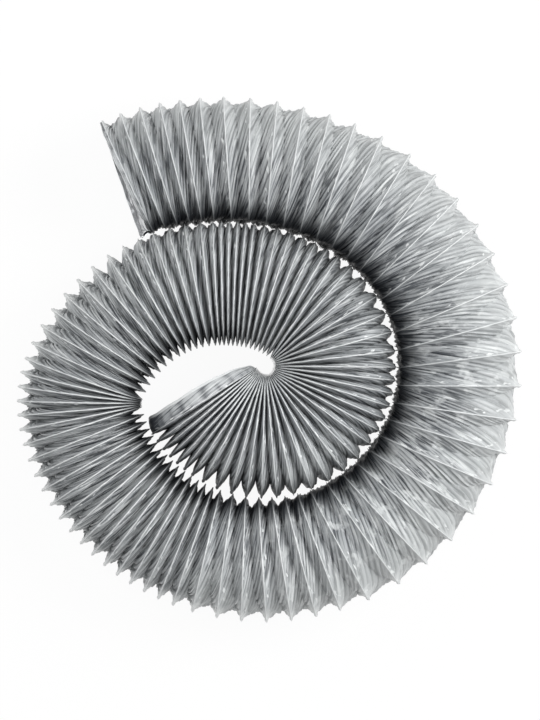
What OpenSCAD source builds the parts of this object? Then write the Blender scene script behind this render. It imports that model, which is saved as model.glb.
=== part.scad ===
// Flexible ventilation duct, nominal 100 mm: a sleeve of two-ply laminated film drawn over one
// helix of spring wire, laid flat in a loose double coil. Millimetres, +Z up, standing on z = 0
// with the middle of its box at the origin. The long bendy duct is cut into rigid lengths of a
// few turns each, and each length turns on the one before it about its outer edge, so that the
// pleats on the inner side open as the coil straightens.

/* [Wire] */
// Radius of the helix, to the middle of the wire
coil_r = 51.2; // [46:0.1:56]
// Diameter of the spring wire
wire_d = 0.8; // [0.5:0.1:0.9]
// Free gap from the end of one length's wire to the start of the next
wire_gap = 0.6; // [0.4:0.1:1.2]

/* [Film] */
// Width of the film from one turn of wire to the next, laid flat
web_w = 33; // [29:0.5:36]
// Thickness of the laminate where the pleats stand open
film_t = 0.35; // [0.2:0.05:0.5]
// Share of the spacing that the film may fill where the pleats are pressed together
film_share = 0.13; // [0.06:0.01:0.16]
// Film that covers the outside of the wire
lap = 0.35; // [0.2:0.05:0.6]
// Film left standing past the first and the last turn
cut_edge = 4; // [2:0.5:6]
// Free gap between the film of two neighbouring lengths
seam_gap = 0.4; // [0.3:0.05:0.5]

/* [Lay] */
// Heading of the duct where it leaves the inner mouth, in degrees from +X
lay_heading = -60; // [-180:1:180]
// Each length from the inner mouth outward: turns of wire, run along the middle in coil radii,
// and the angle that it bends to the left
lay = [
    [7, 0.63, 28],
    [6, 0.82, 40],
    [6, 0.99, 50],
    [6, 0.73, 34],
    [6, 1.04, 51],
    [7, 1.05, 29],
    [6, 0.63, 11],
    [6, 1.13, 28],
    [7, 1.62, 36],
    [6, 0.79, 37],
    [7, 1.42, 28],
    [8, 1.60, 29],
    [7, 2.22, 39],
    [6, 2.61, 46],
    [6, 2.59, 47],
    [6, 2.52, 42],
    [6, 2.21, 27],
    [6, 1.63, 22],
];

/* [Hidden] */

// Flats round the film in half a turn and in a whole one
half = 8;
turn = 2 * half;
// How far the film's crest stands outside the middle of the wire
crest = wire_d / 2 + lap;
// The seam gap as a share of one flat, and the wire gap as an angle, both at the coil's radius
seam_step = seam_gap / (PI * coil_r / half);
wire_turn = wire_gap / (PI * coil_r) * 180;
last = len(lay) - 1;
// Odd half turns of wire are this much thinner, so that each end seats inside the next one's
seat_step = 0.02;

// A place on an arc that starts at [x, y, heading], a share f of the way along it
function on_arc(p, run, bend, f) =
    let (r = run / (bend * PI / 180))
    [p.x + r * (sin(p.z + bend * f) - sin(p.z)), p.y - r * (cos(p.z + bend * f) - cos(p.z)), p.z + bend * f];

// Where each length starts: its first turn and its [x, y, heading]
knots = [
    for (k = 0, u = 0, p = [0, 0, lay_heading]; k <= last;
        u = u + lay[k][0], p = on_arc(p, lay[k][1] * coil_r, lay[k][2], 1), k = k + 1) [u, p]
];
turns = knots[last][0] + lay[last][0];

function length_at(u, k = 0) = k == last || u < knots[k + 1][0] ? k : length_at(u, k + 1);

// Middle of the duct at turn u, as [x, y, heading]
function middle(u) =
    let (k = length_at(u))
    on_arc(knots[k][1], lay[k][1] * coil_r, lay[k][2], (u - knots[k][0]) / lay[k][0]);

// Edge of the helix in plan at half turn q: even ones on the bend's inner side, odd ones outside
function plan_edge(q) =
    let (c = middle(q / 2), w = q % 2 == 0 ? coil_r : -coil_r)
    [c.x - w * sin(c.z), c.y + w * cos(c.z)];

// The whole helix in plan, for the box and the height of the middle
edges = [for (q = [0 : 2 * turns]) plan_edge(q)];
arms = [for (q = [1 : 2 * turns]) norm(edges[q] - edges[q - 1]) / 2];
z_mid = max(arms) + crest;
box_mid = [
    (min([for (e = edges) e.x]) + max([for (e = edges) e.x])) / 2,
    (min([for (e = edges) e.y]) + max([for (e = edges) e.y])) / 2,
];

// Half turn q of wire is a half circle that stands upright on its two plan edges: even ones go
// over the top, odd ones underneath. Its centre, its arm to the start, and its side
function hoop(q) =
    let (a = plan_edge(q) - box_mid, b = plan_edge(q + 1) - box_mid)
    [(a + b) / 2, (a - b) / 2, q % 2 == 0 ? 1 : -1];

// A point on the wire at flat m, and how far along the duct that is, in turns
function on_wire(m) =
    let (q = floor(m / half), a = (m / half - q) * 180, h = hoop(q))
    [
        h[0].x + h[1].x * cos(a),
        h[0].y + h[1].y * cos(a),
        z_mid + h[2] * norm(h[1]) * sin(a),
    ];
function along(m) =
    let (q = floor(m / half), a = (m / half - q) * 180)
    q / 2 + (1 - cos(a)) / 4;

// Point p moved away from the duct's middle line at turn u by off
function outward(p, u, off) =
    let (
        c = middle(u),
        r = p - [c.x - box_mid.x, c.y - box_mid.y, z_mid]
    )
    p + r / norm(r) * off;

// Spacing of the turns just before flat m, the depth of the pleat there, and the film's
// thickness measured along the radius
function spacing(m) = norm(on_wire(m) - on_wire(m - turn));
function depth(s) = sqrt(max(web_w * web_w - s * s, 4)) / 2;
function skin(s) = min(film_t, film_share * s) * web_w / s;

// Crest of the film over the wire, ply 0 outside and ply 1 inside
function ridge(m, ply) =
    let (s = (spacing(m) + spacing(m + turn)) / 2)
    outward(on_wire(m), along(m), crest - ply * skin(s));

// Bottom of the pleat between the turn before flat m and the one at m
function valley(m, ply, shift) =
    let (a = on_wire(m - turn), b = on_wire(m), s = norm(b - a))
    outward((a + b) / 2, along(m) - 0.5, crest - depth(s) - ply * skin(s)) + (b - a) / s * shift;

// Cut edge of the film beside the turn at flat m, before it (side -1) or after it (side 1)
function cut(m, ply, side) =
    let (d = on_wire(m + side * turn) - on_wire(m), s = norm(d))
    outward(on_wire(m), along(m), crest - ply * film_t - cut_edge / 4) - d / s * cut_edge;

function ease(f) = let (g = min(max(f, 0), 1)) g * g * (3 - 2 * g);

// Valley of one length of duct that runs from flat lo to flat hi: it stands off each neighbour by
// half the seam gap, stops short of the next one's start by the whole gap, and changes into the
// cut edge at the two mouths
function seam(m, ply, lo, hi) =
    let (
        n = m - (m == hi || m == hi + turn ? seam_step : 0),
        v = valley(n, ply, m <= lo + turn ? seam_gap / 2 : m >= hi ? -seam_gap / 2 : 0),
        first = lo == 0 ? ease((turn - m) / 4) : 0,
        final = hi == turns * turn ? ease((m - hi) / 4) : 0
    )
    first > 0 ? v * (1 - first) + cut(n, ply, 1) * first :
    final > 0 ? v * (1 - final) + cut(n - turn, ply, -1) * final : v;

function quad(a, b, c, d) = [[a, b, c], [a, c, d]];

// One length of the pleated sleeve
module wall(k) {
    lo = knots[k][0] * turn;
    n = lay[k][0] * turn;
    hi = lo + n;
    nv = n + turn + 1;
    nr = n + 1;
    valleys = [for (ply = [0, 1], i = [0 : n + turn]) seam(lo + i, ply, lo, hi)];
    ridges = [
        for (ply = [0, 1], i = [0 : n])
            ridge(lo + i - (i == n ? seam_step : 0), ply)
    ];
    // outer ply: valley o, ridge r; inner ply: valley p, ridge q
    r = 2 * nv;
    q = r + nr;
    faces = [
        for (i = [0 : n - 1]) each concat(
            quad(i, r + i, r + i + 1, i + 1),
            quad(r + i, i + turn, i + turn + 1, r + i + 1),
            quad(nv + i, nv + i + 1, q + i + 1, q + i),
            quad(q + i, q + i + 1, nv + i + turn + 1, nv + i + turn)
        ),
        for (i = [0 : turn - 1]) each concat(
            quad(i, i + 1, nv + i + 1, nv + i),
            quad(n + i + 1, n + i, nv + n + i, nv + n + i + 1)
        ),
        each quad(r, 0, nv, q),
        each quad(turn, r, q, nv + turn),
        each quad(n, r + n, q + n, nv + n),
        each quad(r + n, n + turn, nv + n + turn, q + n),
    ];
    color([0.66, 0.68, 0.69])
        polyhedron(concat(valleys, ridges), faces);
}

// The turns of spring wire inside that length
module wire(k) {
    first_q = 2 * knots[k][0];
    last_q = first_q + 2 * lay[k][0] - 1;
    color([0.8, 0.8, 0.82])
        for (q = [first_q : last_q]) {
            h = hoop(q);
            translate([h[0].x, h[0].y, z_mid])
                rotate([h[2] * 90, 0, atan2(h[1].y, h[1].x)])
                    rotate_extrude(angle = 180 - (q == last_q ? wire_turn : 0), $fn = 48)
                        translate([norm(h[1]), 0])
                            circle(d = wire_d - (q % 2) * seat_step, $fn = 16);
        }
}

wall(0);  // wall_01
wall(1);  // wall_02
wall(2);  // wall_03
wall(3);  // wall_04
wall(4);  // wall_05
wall(5);  // wall_06
wall(6);  // wall_07
wall(7);  // wall_08
wall(8);  // wall_09
wall(9);  // wall_10
wall(10);  // wall_11
wall(11);  // wall_12
wall(12);  // wall_13
wall(13);  // wall_14
wall(14);  // wall_15
wall(15);  // wall_16
wall(16);  // wall_17
wall(17);  // wall_18
wire(0);  // wire_01
wire(1);  // wire_02
wire(2);  // wire_03
wire(3);  // wire_04
wire(4);  // wire_05
wire(5);  // wire_06
wire(6);  // wire_07
wire(7);  // wire_08
wire(8);  // wire_09
wire(9);  // wire_10
wire(10);  // wire_11
wire(11);  // wire_12
wire(12);  // wire_13
wire(13);  // wire_14
wire(14);  // wire_15
wire(15);  // wire_16
wire(16);  // wire_17
wire(17);  // wire_18
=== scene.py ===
import math
import bpy
import numpy as np
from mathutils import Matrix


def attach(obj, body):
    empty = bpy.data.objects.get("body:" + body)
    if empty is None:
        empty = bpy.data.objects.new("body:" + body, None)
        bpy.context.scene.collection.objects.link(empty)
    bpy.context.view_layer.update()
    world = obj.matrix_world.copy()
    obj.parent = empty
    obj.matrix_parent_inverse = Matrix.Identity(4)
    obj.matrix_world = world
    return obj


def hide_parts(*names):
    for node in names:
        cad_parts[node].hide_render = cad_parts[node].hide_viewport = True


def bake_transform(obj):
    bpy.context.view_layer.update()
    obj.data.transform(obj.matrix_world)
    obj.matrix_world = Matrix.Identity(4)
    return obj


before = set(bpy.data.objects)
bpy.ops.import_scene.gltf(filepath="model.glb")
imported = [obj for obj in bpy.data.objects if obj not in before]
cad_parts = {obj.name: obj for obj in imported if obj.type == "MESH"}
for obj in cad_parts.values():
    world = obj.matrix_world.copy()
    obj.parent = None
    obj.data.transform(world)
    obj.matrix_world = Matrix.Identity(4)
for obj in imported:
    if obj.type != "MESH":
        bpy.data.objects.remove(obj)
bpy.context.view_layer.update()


# ---- Camera -----------------------------------------------------------------------------------
# The duct is looked at from straight above, as it lies on a table. The view is framed at the
# height of the coil's middle, where its outline is widest.
view_height = 0.614
view_centre = (0.0008, -0.0004)
eye_height = 2.4
coil_height = 0.051
sensor = 36

lens_data = bpy.data.cameras.new("overhead_camera")
lens_data.sensor_fit = "VERTICAL"
lens_data.sensor_height = sensor
lens_data.lens = sensor * (eye_height - coil_height) / view_height
lens_data.clip_end = 20
camera = bpy.data.objects.new("overhead_camera", lens_data)
camera.location = (*view_centre, eye_height)
camera.rotation_euler = (0, 0, 0)
bpy.context.scene.collection.objects.link(camera)
bpy.context.scene.camera = camera
bpy.context.scene.view_settings.view_transform = "Standard"


# ---- Lay of the coil --------------------------------------------------------------------------
# The duct is one long sleeve that lies in a loose double coil. Its middle runs along arcs, one
# for each length: turns of wire, run in coil radii, and the angle that it bends to the left.
#
# Counted in turns, the inner wrap runs along the bottom to turn 17, up the right side to 30 and
# over the top to 49. The outer wrap goes down the left side to 71, along the bottom to 88, up
# the right side to 100 and over the top to the outer mouth.
coil_r = 0.0512
first_heading = math.radians(-60)
lay = np.array([
    [7, 0.63, 28], [6, 0.82, 40], [6, 0.99, 50], [6, 0.73, 34], [6, 1.04, 51], [7, 1.05, 29],
    [6, 0.63, 11], [6, 1.13, 28], [7, 1.62, 36], [6, 0.79, 37], [7, 1.42, 28], [8, 1.60, 29],
    [7, 2.22, 39], [6, 2.61, 46], [6, 2.59, 47], [6, 2.52, 42], [6, 2.21, 27], [6, 1.63, 22],
])
lengths = len(lay)
bend = np.radians(lay[:, 2])
arc_r = lay[:, 1] * coil_r / bend
first_turn = np.concatenate([[0], np.cumsum(lay[:, 0])])
turns = int(first_turn[-1])
heading = first_heading + np.concatenate([[0], np.cumsum(bend)])
step_x = arc_r * (np.sin(heading[1:]) - np.sin(heading[:-1]))
step_y = -arc_r * (np.cos(heading[1:]) - np.cos(heading[:-1]))
start_x = np.concatenate([[0], np.cumsum(step_x)])[:-1]
start_y = np.concatenate([[0], np.cumsum(step_y)])[:-1]


def along_arcs(u):
    """Where the middle of the duct is at turn u, before it is centred, and its heading there."""
    k = np.clip(np.searchsorted(first_turn, u, side="right") - 1, 0, lengths - 1)
    h = heading[k] + bend[k] * (u - first_turn[k]) / lay[k, 0]
    x = start_x[k] + arc_r[k] * (np.sin(h) - np.sin(heading[k]))
    y = start_y[k] - arc_r[k] * (np.cos(h) - np.cos(heading[k]))
    return x, y, h


# The wire touches the two edges of the duct in turn, first the one inside the bend. The row is
# carried on by two turns past each mouth, for the film that stands past the last wire.
spare = 4
half_turns = np.arange(-spare, 2 * turns + spare + 1)
x, y, h = along_arcs(half_turns / 2)
swing = np.where(half_turns % 2 == 0, coil_r, -coil_r)
edges = np.stack([x - swing * np.sin(h), y + swing * np.cos(h)], 1)
on_coil = edges[spare:-spare]
box_mid = (on_coil.min(0) + on_coil.max(0)) / 2
edges -= box_mid
wire_r = 0.0004
film_over_wire = 0.00035
crest = wire_r + film_over_wire
middle_z = float(np.hypot(*np.diff(on_coil, axis=0).T).max()) / 2 + crest


def on_wire(q):
    """The middle of the wire at half turn q, which stands upright on the duct's two edges."""
    i = np.floor(q).astype(int)
    a = (q - i) * math.pi
    start, end = edges[i + spare], edges[i + spare + 1]
    centre, arm = (start + end) / 2, (start - end) / 2
    rise = np.where(i % 2 == 0, 1.0, -1.0) * np.hypot(arm[..., 0], arm[..., 1]) * np.sin(a)
    flat = centre + arm * np.cos(a)[..., None]
    return np.concatenate([flat, (middle_z + rise)[..., None]], -1)


def turn_at(q):
    """How far along the duct half turn q is, in turns."""
    i = np.floor(q)
    return i / 2 + (1 - np.cos((q - i) * math.pi)) / 4


def toward_outer(q):
    """How far across the duct half turn q is: 0 at the bend's inner edge and 1 at its outer one."""
    return (1 - np.cos(q * math.pi)) / 2


def outward(points, u):
    """The direction from the duct's middle to each point."""
    x, y, h = along_arcs(u)
    r = points - np.stack([x - box_mid[0], y - box_mid[1], np.full_like(x, middle_z)], -1)
    return r / np.linalg.norm(r, axis=-1, keepdims=True)


# The duct is shown in pieces that each run from the middle of one length to the middle of the
# next.
mid_turn = (first_turn[:-1] + first_turn[1:]) / 2


def ride_lengths(piece, j):
    """The first and last pieces follow the end lengths; the others are left where they lie."""
    if j == 0 or j == lengths:
        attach(piece, "length_%02d" % max(1, j))
        return
    u = np.empty(len(piece.data.vertices), np.float32)
    piece.data.attributes["turn"].data.foreach_get("value", u)
    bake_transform(piece)


def stands_for(j, solid):
    """Piece j stands for the CAD solids of the lengths that it covers."""
    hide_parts(*["%s_%02d" % (solid, n) for n in (j, j + 1) if 1 <= n <= lengths])


# ---- Materials' small tools -------------------------------------------------------------------
# A value is a number, a colour or another node's output, and each tool gives back one output.
def new_material(name):
    material = bpy.data.materials.new(name)
    material.use_nodes = True
    return material, material.node_tree, material.node_tree.nodes["Principled BSDF"]


def plug(socket, value):
    """A socket takes another node's output, or else a number or a colour."""
    if isinstance(value, bpy.types.NodeSocket):
        socket.id_data.links.new(value, socket)
    else:
        socket.default_value = value


def node(tree, kind, **inputs):
    """A node with its inputs given by name, or by number as in _0 for the first one."""
    n = tree.nodes.new(kind)
    for name, value in inputs.items():
        plug(n.inputs[int(name[1:]) if name[1:].isdigit() else name], value)
    return n


def tree_of(*values):
    return next(v.id_data for v in values if isinstance(v, bpy.types.NodeSocket))


def sums(operation, *values):
    n = node(tree_of(*values), "ShaderNodeMath", **{"_%d" % i: v for i, v in enumerate(values)})
    n.operation = operation
    return n.outputs[0]


def times(a, b):
    return sums("MULTIPLY", a, b)


def rest_of(value):
    """What is left of 1."""
    return sums("SUBTRACT", 1.0, value)


def mix(factor, low, high):
    n = tree_of(factor, low, high).nodes.new("ShaderNodeMix")
    n.data_type = "RGBA"
    factor_in, low_in, high_in = n.inputs[0], n.inputs[6], n.inputs[7]
    plug(factor_in, factor)
    plug(low_in, low)
    plug(high_in, high)
    return n.outputs[2]


def ramp(value, low, high):
    """0 below low, 1 above high and smooth between them."""
    n = node(tree_of(value), "ShaderNodeMapRange", Value=value)
    n.interpolation_type = "SMOOTHSTEP"
    n.inputs["From Min"].default_value = low
    n.inputs["From Max"].default_value = high
    return n.outputs[0]


def noise(place, scale, detail, roughness=0.5):
    return node(tree_of(place), "ShaderNodeTexNoise", Vector=place, Scale=scale, Detail=detail,
                Roughness=roughness).outputs["Fac"]


def bump(height, strength, distance, **under):
    return node(tree_of(height), "ShaderNodeBump", Height=height, Strength=strength,
                Distance=distance, **under).outputs[0]


def object_place(tree):
    return node(tree, "ShaderNodeTexCoord").outputs["Object"]


def mark(tree, name):
    """A value that the mesh carries at each of its points."""
    n = node(tree, "ShaderNodeAttribute")
    n.attribute_name = name
    return n.outputs["Fac"]


# ---- Spring wire ------------------------------------------------------------------------------
# One helix of 0.8 mm spring steel runs through the whole duct and holds it open. It is coiled on
# a mandrel and the film is wound and bonded over it.
wire_steps = 24
wire_sides = 6

steel, tree, shader = new_material("spring_steel")
drawn = noise(object_place(tree), 900.0, 3.0)
plug(shader.inputs["Base Color"], mix(drawn, (0.42, 0.42, 0.43, 1), (0.58, 0.58, 0.59, 1)))
plug(shader.inputs["Roughness"], sums("MULTIPLY_ADD", drawn, 0.2, 0.22))
plug(shader.inputs["Metallic"], 1.0)
plug(shader.inputs["Normal"], bump(drawn, 0.15, 0.0001))


def rolled_sheet(name, points, q, v, u, **marks):
    """A flat grid rolled up on to rows of points, with its UV map and its marks."""
    bpy.ops.object.select_all(action="DESELECT")
    rows, columns = points.shape[0] - 1, points.shape[1] - 1
    bpy.ops.mesh.primitive_grid_add(x_subdivisions=rows, y_subdivisions=columns, size=1)
    sheet = bpy.context.object
    sheet.name = sheet.data.name = name
    flat = np.empty(3 * len(sheet.data.vertices), np.float32)
    sheet.data.vertices.foreach_get("co", flat)
    flat = flat.reshape(-1, 3)
    row = np.rint((flat[:, 0] + 0.5) * rows).astype(int)
    column = np.rint((flat[:, 1] + 0.5) * columns).astype(int)
    sheet.data.vertices.foreach_set("co", points[row, column].astype(np.float32).ravel())
    corner = np.empty(len(sheet.data.loops), np.int32)
    sheet.data.loops.foreach_get("vertex_index", corner)
    uv = np.stack([q, v], -1)[row[corner], column[corner]]
    sheet.data.uv_layers.active.data.foreach_set("uv", uv.astype(np.float32).ravel())
    for label, values in dict(marks, turn=u).items():
        layer = sheet.data.attributes.new(label, "FLOAT", "POINT")
        layer.data.foreach_set("value", values[row, column].astype(np.float32))
    return sheet


def merge_edges():
    """The edges of the sheet in hand that lie on each other become one."""
    bpy.ops.object.mode_set(mode="EDIT")
    bpy.ops.mesh.select_all(action="SELECT")
    bpy.ops.mesh.remove_doubles(threshold=1e-6)
    bpy.ops.object.mode_set(mode="OBJECT")


def close_ends():
    """The two open ends of the tube in hand are closed."""
    bpy.ops.object.mode_set(mode="EDIT")
    bpy.ops.mesh.select_mode(type="EDGE")
    bpy.ops.mesh.select_all(action="DESELECT")
    bpy.ops.mesh.select_non_manifold()
    bpy.ops.mesh.fill()
    bpy.ops.mesh.select_mode(type="VERT")
    bpy.ops.object.mode_set(mode="OBJECT")


for j in range(lengths + 1):
    low = 2 * mid_turn[j - 1] if j else 0
    high = 2 * mid_turn[j] if j < lengths else 2 * turns
    q = np.arange(round(low * wire_steps), round(high * wire_steps) + 1) / wire_steps
    path = on_wire(np.minimum(q, 2 * turns - 1e-6))
    ahead = np.gradient(path, axis=0)
    out = outward(path, turn_at(q))
    side = np.cross(ahead, out)
    side /= np.linalg.norm(side, axis=1, keepdims=True)
    out = np.cross(side, ahead)
    out /= np.linalg.norm(out, axis=1, keepdims=True)
    around = np.linspace(0, 2 * math.pi, wire_sides + 1)[:, None]
    ring = np.cos(around) * out[:, None] + np.sin(around) * side[:, None]
    q = np.repeat(q[:, None], wire_sides + 1, 1)
    wire = rolled_sheet("spring_%02d" % (j + 1), path[:, None] + wire_r * ring, q,
                        around[:, 0] + 0 * q, turn_at(q))
    merge_edges()
    close_ends()
    bpy.ops.object.shade_smooth_by_angle(angle=math.radians(70))
    wire.data.materials.append(steel)
    stands_for(j, "wire")
    ride_lengths(wire, j)


# ---- Film -------------------------------------------------------------------------------------
# The wall is one strip of laminate, grey film outside and bright foil inside, wound with the wire
# and bonded over it. The strip is 33 mm wide from turn to turn, so it pleats inward between the
# turns and falls into fine folds, which run from each turn's inner part to the next one's edge.
web_w = 0.033
film_t = 0.00022
steps = 80
lean = 42 / steps
inner_wrap = 49

# Across the strip: how far round the wire, then how far down the pleat to its valley, and up the
# far side in the same way.
bead_turn = np.radians([0, 38, 76])
flank = np.array([0.07, 0.2, 0.36, 0.54, 0.72, 0.88])
bead_share = 0.035
round_bead = np.concatenate([bead_turn, np.full(len(flank) + 1, math.pi / 2)])
down = np.concatenate([0 * bead_turn, flank, [1.0]])
across = np.concatenate([bead_share * np.sin(bead_turn), bead_share + (0.5 - bead_share) * flank,
                         [0.5]])
far_side = np.arange(2 * len(down) - 1) >= len(down)
round_bead = np.concatenate([round_bead, round_bead[-2::-1]])
down = np.concatenate([down, down[-2::-1]])
across = np.concatenate([across, 1 - across[-2::-1]])

# The fine folds: ridges and valleys of uneven height and width along the strip, one row for each
# edge of it, so that a fold changes a little between the two wires. Loose folds are wider.
fine_fold_h = 0.0011
gather_h = 0.0012
rng = np.random.default_rng(41)
margin = 6 * steps
fold_count = 2 * turns * steps + 2 * margin


def fold_row(shortest, longest):
    knots = np.cumsum(rng.integers(shortest, longest + 1, fold_count // shortest))
    knots = knots[knots < fold_count]
    heights = rng.uniform(0.35, 1.0, len(knots)) * np.where(np.arange(len(knots)) % 2, 1, -1)
    return np.interp(np.arange(fold_count), knots, heights)


fine_rows = [fold_row(2, 4), fold_row(2, 4)]
loose_rows = [fold_row(5, 9), fold_row(5, 9)]
fine_rows[1] = 0.8 * fine_rows[0] + 0.2 * fine_rows[1]
loose_rows[1] = 0.65 * loose_rows[0] + 0.35 * loose_rows[1]


def drift(q, period, phase):
    """A slow, even wander between -1 and 1 along the strip."""
    return (np.sin(q * 2.399 / period + phase) + np.sin(q * 3.883 / period + 2.1 * phase)) / 2


def ease(value, low, high):
    """0 below low, 1 above high and smooth between them."""
    f = np.clip((value - low) / (high - low), 0, 1)
    return f * f * (3 - 2 * f)


# Where one wrap lies against the other, the outer wrap's film is pressed nearly flat. The gap
# that is left there is measured from each tip, across the duct, to the nearest tip opposite. A
# tip's own wrap reaches 24 half turns either way, and each wrap is free before the turn named.
own_wrap = 24
inner_faces_from, outer_faces_from = 9, 80
between = on_coil[None] - on_coil[:, None]
tips = np.arange(2 * turns + 1)
opposite = np.abs(np.subtract.outer(tips, tips)) > own_wrap
tip_apart = np.where(opposite, np.linalg.norm(between, axis=-1), 1.0)
nearest = tip_apart.argmin(1)
across_duct = on_coil - np.roll(on_coil, 1, axis=0)
across_duct /= np.linalg.norm(across_duct, axis=1)[:, None]
gap = np.abs((between[tips, nearest] * across_duct).sum(1))
faces_from = np.where(tips > 2 * inner_wrap, outer_faces_from, inner_faces_from)
facing = (1 - ease(tip_apart.min(1), 0.013, 0.019)) * ease(tips / 2, faces_from, faces_from + 5)
facing[2:-2] = (facing[:-4] + 2 * facing[2:-2] + facing[4:]) / 4
gap[2:-2] = (gap[:-4] + gap[2:-2] + gap[4:]) / 3


def at_edge(values, q):
    return values[np.clip(np.rint(q).astype(int), 0, 2 * turns)]


def pleat_depth(q, spacing, openness):
    """A pleat goes as deep as its web allows, a little less on top and underneath where the duct
    is pulled open. At the duct's two edges it keeps only a share of that."""
    least = 0.002
    turn, upright = q / 2, np.abs(np.sin(q * math.pi))
    depth = np.sqrt(np.maximum(web_w ** 2 - spacing ** 2, least ** 2)) / 2
    depth = depth * (1 - 0.25 * openness * upright) * (0.95 + 0.05 * drift(q, 1.3, 1.0))
    # Just under its outer edge the outer wrap is drawn tight, most where it is widest open.
    drawn_tight = (0.5 + 0.17 * ease(openness, 0.45, 0.85)) * ease(q % 2, 0.97, 1.05)
    drawn_tight = drawn_tight * ease(turn, inner_wrap, inner_wrap + 4)
    # At the inner edge about half is left, least along the top of the inner wrap.
    inner_edge = 0.55 - 0.13 * ease(turn, 29, 33) * (1 - ease(turn, 42, 48))
    share = np.where(np.cos(q * math.pi) < 0, 1 - drawn_tight, inner_edge)
    # Towards the outer mouth both edges get shallower.
    share = share * (1 - 0.5 * ease(turn, 101, 110))
    # Where the two wraps press on each other, the outer one is nearly flat.
    pressed = np.where(turn > inner_wrap, 0.12, 0.5 - 0.2 * ease(turn, 30, 35))
    share = share + (pressed - share) * at_edge(facing, q)
    return depth * (1 - (1 - share) * np.cos(q * math.pi) ** 4)


def hanging(q):
    """Under the edge that leans on the inner wrap, loose film hangs out and fills the gap. It
    hangs lower towards the outer mouth and is drawn in again just before it."""
    just_below, band = 1.87, 0.05
    below_edge = np.exp(-((q % 2 - just_below) / band) ** 2) * at_edge(facing, q)
    below_edge = below_edge * (q > 2 * inner_wrap) * (1 - ease(q / 2, 111.5, 114))
    low = 0.0053 + 0.0022 * ease(q / 2, 98, 102) + 0.0006 * drift(q, 3.7, 1.0)
    return below_edge * (at_edge(gap, q) + low)


def gathers(q):
    """Next to a turn's outermost point the folds gather into it like the ribs of a fan."""
    ribs, fan_r, knot_r = 9, 0.014, 0.0025
    before = q % 2 < 1
    back = np.abs(q % 2 - 1) * math.pi * coil_r
    away = np.where(before, across, 1 - across) * web_w
    fan = np.cos(ribs * np.arctan2(away, back) + 2 * drift(q, 5.3, 2.0))
    near = np.hypot(back, away)
    return fan * np.exp(-(near / fan_r) ** 2) * np.clip(near / knot_r, 0, 1)


def pleated(i):
    """Points of the strip at steps i, with each point's place on it, spacing and fold height."""
    q = np.clip(i[:, None] / steps - lean * across, 0, 2 * turns - 2)
    near_wire, far_wire = on_wire(q), on_wire(q + 2 - 1e-9)
    pitch = far_wire - near_wire
    spacing = np.linalg.norm(pitch, axis=-1)
    openness = np.clip(spacing / web_w, 0, 1)
    depth = pleat_depth(q, spacing, openness)
    outer_tip = toward_outer(q) ** 6
    pressed = at_edge(facing, q)

    # At the duct's two edges the film is pinched into a short fin past the wire, longer and
    # wider at the outer edge. Between the wraps there is less room for it.
    free_fin = 0.0013
    tip = np.cos(q * math.pi) ** 24 * (down == 0)
    fin = np.minimum(free_fin, free_fin - (free_fin - 0.38 * at_edge(gap, q)) * pressed)
    wider = 1.1 * outer_tip * (1 - pressed) - 0.5 * pressed
    bead = np.minimum(crest, 0.42 * spacing) * (1 + wider * tip)

    # From wire to wire: round the bead, down to the valley and up again.
    valley = spacing * (0.5 + 0.07 * drift(q, 0.7, 3.0) + 0.55 * openness ** 3 * outer_tip)
    reach = np.where(far_side, spacing - valley, valley)
    x = bead * np.sin(round_bead) + (reach - bead) * down
    x = np.where(far_side, spacing - x, x) / spacing
    u = turn_at(q) + x
    chord = near_wire + pitch * x[..., None]
    out = outward(chord, u)

    # How far the film stands off the straight line between the two wires. The inner wrap's
    # pleats belly like petals. Loose folds need slack, and so do the gathers at the outer tips.
    row = np.clip(i + margin, 0, fold_count - 1).astype(int)[:, None]
    fold = fine_rows[0][row] * (1 - across) + fine_rows[1][row] * across
    loose = loose_rows[0][row] * (1 - across) + loose_rows[1][row] * across
    slack = 0.0003 + 0.0021 * (1 - openness) * np.clip(spacing / 0.007, 0, 1)
    petal = 0.85 + 0.5 * np.clip((2 * inner_wrap + 6 - q) / 12, 0, 1)
    hung = hanging(q)
    fan = gathers(q)
    rise = (crest + fin * tip) * np.cos(round_bead) - depth * down ** petal
    rise = rise + loose * slack * np.clip(down / 0.3, 0, 1)
    rise = rise + hung * (np.sqrt(np.abs(np.sin(across * math.pi))) + down * depth / 0.03)
    rise = rise + gather_h * openness * fan

    # The fine folds stand off the pleat's flanks. Behind each outer tip the film is smooth.
    axial = pitch / spacing[..., None]
    flank_way = np.where(far_side, -1, 1) * (down < 1)
    tilt = flank_way * depth / (web_w / 2)
    normal = out * np.maximum(spacing / web_w, 0.1)[..., None] + axial * tilt[..., None]
    normal /= np.linalg.norm(normal, axis=-1, keepdims=True)
    off_wire = np.clip(down / 0.15, 0, 1)
    smooth = outer_tip * ease(across, 0.6, 0.9) * openness
    height = np.minimum(fine_fold_h, 0.09 * spacing) * off_wire * (1 - 0.8 * smooth)
    height = height * np.clip(1 - hung / 0.003, 0.2, 1) * (0.8 + 0.3 * drift(q, 2.1, 5.0))
    points = chord + out * rise[..., None] + normal * (fold * height)[..., None]

    # The fold mark, which the film's colour turns into painted shade in the folds' valleys.
    fold = fold * 0.95 + loose * 0.55 * (1 - openness) + fan * openness * 0.9
    return dict(points=points, q=q, v=across + 0 * q, u=u, apart=openness,
                fold=np.clip(fold, -1.2, 1) * off_wire, outer_side=toward_outer(q))


laminate, tree, shader = new_material("grey_film")
strip = node(tree, "ShaderNodeUVMap").outputs["UV"]
strip = node(tree, "ShaderNodeSeparateXYZ", Vector=strip).outputs
run, width = strip["X"], strip["Y"]
over_folds = sums("MULTIPLY_ADD", width, lean, run)


def on_strip(x, y):
    return node(tree, "ShaderNodeCombineXYZ", X=x, Y=y).outputs[0]


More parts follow.
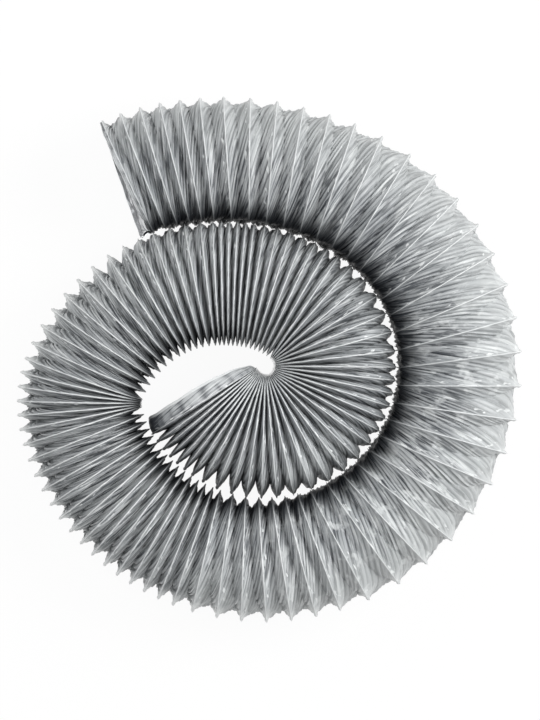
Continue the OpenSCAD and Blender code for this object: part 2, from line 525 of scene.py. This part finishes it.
creases = noise(on_strip(times(over_folds, 17.0), times(width, 2.2)), 1.0, 3.0, 0.6)
dashes = noise(on_strip(times(run, 15.0), times(width, 9.0)), 1.0, 1.0)
place = object_place(tree)
crumple = noise(place, 70.0, 3.0)
cloud = noise(place, 14.0, 2.0)
fold_high, apart = mark(tree, "fold"), mark(tree, "apart")
outer, along = mark(tree, "outer_side"), mark(tree, "turn")
wire_near = sums("MINIMUM", width, rest_of(width))

shade_black = (0.012, 0.014, 0.018, 1)
valley_shade = (0.035, 0.041, 0.052, 1)
crease_shade = (0.04, 0.046, 0.056, 1)
dull_grey = (0.36, 0.377, 0.39, 1)
clean_grey = (0.50, 0.517, 0.525, 1)
lit_grey = (0.56, 0.58, 0.575, 1)
ridge_highlight = (0.66, 0.68, 0.68, 1)
patch_sheen = (0.74, 0.76, 0.76, 1)
highlight_grey = (0.76, 0.78, 0.78, 1)
tip_lit_grey = (0.80, 0.82, 0.815, 1)
dash_highlight = (0.86, 0.88, 0.88, 1)

# Folds: painted shade in their valleys, and finer painted dark and light lines along them.
base = mix(ramp(cloud, 0.3, 0.7), dull_grey, clean_grey)
base = mix(ramp(fold_high, -0.8, 0.25), mix(0.85, base, valley_shade), base)
base = mix(ramp(creases, 0.38, 0.47), mix(0.85, base, crease_shade), base)
base = mix(ramp(creases, 0.54, 0.68), base, ridge_highlight)

# Painted highlights: short bright dashes where a fold turns over beside a wire.
dashes = times(ramp(dashes, 0.62, 0.68), rest_of(ramp(width, 0.16, 0.24)))
base = mix(times(dashes, 0.85), base, dash_highlight)

# Painted sheen: lighter crumpled patches in the widest bend, where the film shines.
widest_bend = times(ramp(along, 76.0, 82.0), rest_of(ramp(along, 94.0, 100.0)))
sheen_patches = times(ramp(crumple, 0.56, 0.66), widest_bend)
base = mix(times(sheen_patches, 0.55), base, patch_sheen)

# Painted light: the outer edge is painted paler where the pleats stand open and face outward.
# The outer wrap's thin tips are painted paler still, as light shining through them, less so where
# it faces the window.
lit_edge = times(ramp(outer, 0.25, 0.95), ramp(apart, 0.25, 0.7))
base = mix(times(lit_edge, 0.5), base, lit_grey)
lit_tips = times(ramp(outer, 0.91, 0.975), rest_of(ramp(wire_near, 0.10, 0.24)))
lit_tips = times(lit_tips, ramp(along, inner_wrap - 2.0, inner_wrap + 2.0))
facing_window = ramp(along, 78.0, 86.0)
lit_tips = times(lit_tips, sums("MULTIPLY_ADD", facing_window, -0.6, 0.9))
base = mix(lit_tips, base, tip_lit_grey)

# Painted shade, nearly black: along the inner edge, most of all between the two wraps, and on the
# inner wrap's outer edge, most of all at its bottom.
inner_edge = rest_of(ramp(outer, 0.01, 0.18))
between_wraps = times(inner_edge, ramp(along, inner_wrap + 1.0, inner_wrap + 9.0))
rim = times(rest_of(ramp(outer, 0.02, 0.19)), ramp(along, 32.0, 42.0))
outer_edge = times(ramp(outer, 0.86, 0.97), rest_of(ramp(along, 38.0, 41.0)))
outer_edge = times(outer_edge, sums("MULTIPLY_ADD", ramp(along, 12.0, 16.0), -0.4, 1.0))
gap_shade = sums("MAXIMUM", between_wraps, times(rim, 0.9))
gap_shade = sums("MAXIMUM", gap_shade, times(outer_edge, 0.75))
base = mix(times(gap_shade, 0.94), base, shade_black)

# A painted highlight runs along each crest over the wire, weaker where shade is painted.
crest_highlight = times(rest_of(ramp(wire_near, 0.006, 0.026)), sums("MULTIPLY_ADD", gap_shade, -0.65, 0.8))
base = mix(crest_highlight, base, highlight_grey)

plug(shader.inputs["Base Color"], base)
plug(shader.inputs["Roughness"], sums("MULTIPLY_ADD", creases, 0.25, 0.26))
# The film is less glossy where the shade is painted.
plug(shader.inputs["Specular IOR Level"], sums("MULTIPLY_ADD", gap_shade, -0.45, 0.5))
soft = bump(crumple, 0.35, 0.0012)
plug(shader.inputs["Normal"], bump(creases, 0.55, 0.0004, Normal=soft))

foil, tree, shader = new_material("bright_foil")
crinkle = noise(object_place(tree), 260.0, 4.0)
plug(shader.inputs["Base Color"], mix(crinkle, (0.55, 0.56, 0.57, 1), (0.74, 0.75, 0.76, 1)))
plug(shader.inputs["Roughness"], sums("MULTIPLY_ADD", crinkle, 0.25, 0.2))
plug(shader.inputs["Metallic"], 0.9)
plug(shader.inputs["Normal"], bump(crinkle, 0.5, 0.0005))


def make_two_ply(sheet):
    """The sheet gets its thickness, with grey film outside and bright foil inside."""
    merge_edges()
    sheet.data.materials.append(laminate)
    sheet.data.materials.append(foil)
    wall = sheet.modifiers.new("two_ply", "SOLIDIFY")
    wall.thickness = film_t
    wall.offset = -1
    wall.material_offset = 1
    bpy.ops.object.modifier_apply(modifier=wall.name)
    bpy.ops.object.shade_smooth_by_angle(angle=math.radians(48))


# Where two film pieces meet, their edge runs from one wire to the next. It starts a little before
# the middle of the length.
early = 0.08
for j in range(lengths + 1):
    low = round(2 * (mid_turn[j - 1] - early) * steps) if j else 0
    high = round(2 * (mid_turn[j] - early) * steps) if j < lengths else 2 * turns * steps
    film = rolled_sheet("film_%02d" % (j + 1), **pleated(np.arange(low, high + 1).astype(float)))
    make_two_ply(film)
    stands_for(j, "wall")
    ride_lengths(film, j)


# ---- Cut lips ---------------------------------------------------------------------------------
# Past the first and the last wire the film is snipped off and stands as a loose, crumpled lip.
# At the inner mouth the cut took in more of the next web on top, and left a hem there.
lip_columns = 9
lip_fold_h = 0.0007
ragged_w = 0.0006


def cut_lip(name, length, first_q, way, reach):
    """A lip along one turn from half turn first_q, which stands out by reach the way given."""
    q = first_q + np.arange(2 * steps + 1)[:, None] / steps
    t = np.linspace(0, 1, lip_columns)[None]
    path = on_wire(np.clip(q, 0, 2 * turns - 1e-6))
    out = outward(path, turn_at(q))
    h = along_arcs(np.array(first_q / 2 + 0.5))[2]
    axis = way * np.array([math.cos(h), math.sin(h), 0])
    row = (np.rint(q * steps) + margin).astype(int)
    fold = fine_rows[0][row] * (1 - t) + loose_rows[0][row] * t
    droop = 0.3 * reach(q) * t ** 2
    rise = crest - droop + lip_fold_h * fold * np.sin(t * 2.4)
    ragged = ragged_w * loose_rows[1][row] * t
    points = path + axis * (reach(q) * t + ragged)[..., None] + out * rise[..., None]
    outer_side = toward_outer(q) + 0 * t
    # Towards the duct's outer edge the lip's fold mark is pushed low, which paints shade there.
    fold = 0.7 * fold - 1.2 * ease(outer_side, 0.8, 1.0)
    # From 0.85 of the way out v passes 1, so there the lip carries the painted crest highlight.
    v = t / 0.85 + 0 * q
    lip = rolled_sheet(name, points[:, ::way], q + 0 * t, v[:, ::way], turn_at(q) + 0 * t,
                       apart=0.3 + 0 * v, fold=fold[:, ::way], outer_side=outer_side)
    make_two_ply(lip)
    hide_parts("wall_%02d" % length)
    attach(lip, "length_%02d" % length)


def inner_reach(q):
    """A hem of 2 mm, and up to 13 mm on top of the duct, which is the turn's first half."""
    return 0.002 + 0.011 * ease(q, 0, 0.5) ** 0.6 * (1 - ease(q, 1.02, 1.27))


def outer_reach(q):
    return 0.0015 + 0.002 * np.abs(np.sin(q * math.pi))


cut_lip("film_lip_inner", 1, 0, -1, inner_reach)
cut_lip("film_lip_outer", lengths, 2 * turns - 2, 1, outer_reach)


# ---- Table and light --------------------------------------------------------------------------
# The duct lies on a plain white table in soft daylight from above, a little stronger from the
# right. The table glows to the eye, so that it shows as clean white.
bpy.ops.object.select_all(action="DESELECT")
bpy.ops.mesh.primitive_plane_add(size=8, location=(0, 0, 0))
table = bpy.context.object
table.name = "table_top"
white, tree, shader = new_material("white_table")
plug(shader.inputs["Base Color"], (0.9, 0.9, 0.9, 1))
plug(shader.inputs["Roughness"], 0.8)
glow = node(tree, "ShaderNodeEmission", Color=(1, 1, 1, 1), Strength=1.0).outputs[0]
ray = node(tree, "ShaderNodeLightPath").outputs
seen = sums("MAXIMUM", ray["Is Camera Ray"],
            sums("MAXIMUM", ray["Is Glossy Ray"], ray["Is Transmission Ray"]))
glow_share = times(seen, 0.94)
both = node(tree, "ShaderNodeMixShader", Fac=glow_share, _1=shader.outputs[0], _2=glow)
plug(tree.nodes["Material Output"].inputs["Surface"], both.outputs[0])
table.data.materials.append(white)

world = bpy.data.worlds.new("daylight")
world.use_nodes = True
bpy.context.scene.world = world
sky = world.node_tree.nodes["Background"]
sky.inputs["Color"].default_value = (1, 1, 1, 1)
sky.inputs["Strength"].default_value = 0.33


def soft_box(name, place, size, power):
    bpy.ops.object.light_add(type="AREA", location=place)
    lamp = bpy.context.object
    lamp.name = name
    lamp.data.size = size
    lamp.data.energy = power
    lamp.rotation_euler = (-lamp.location).to_track_quat("-Z", "Y").to_euler()


soft_box("right_window", (1.5, 0.5, 1.5), 1.1, 34)
soft_box("left_fill", (-1.4, 0.9, 1.4), 1.2, 12)
soft_box("ceiling_panel", (0.1, -0.1, 2.3), 0.9, 16)
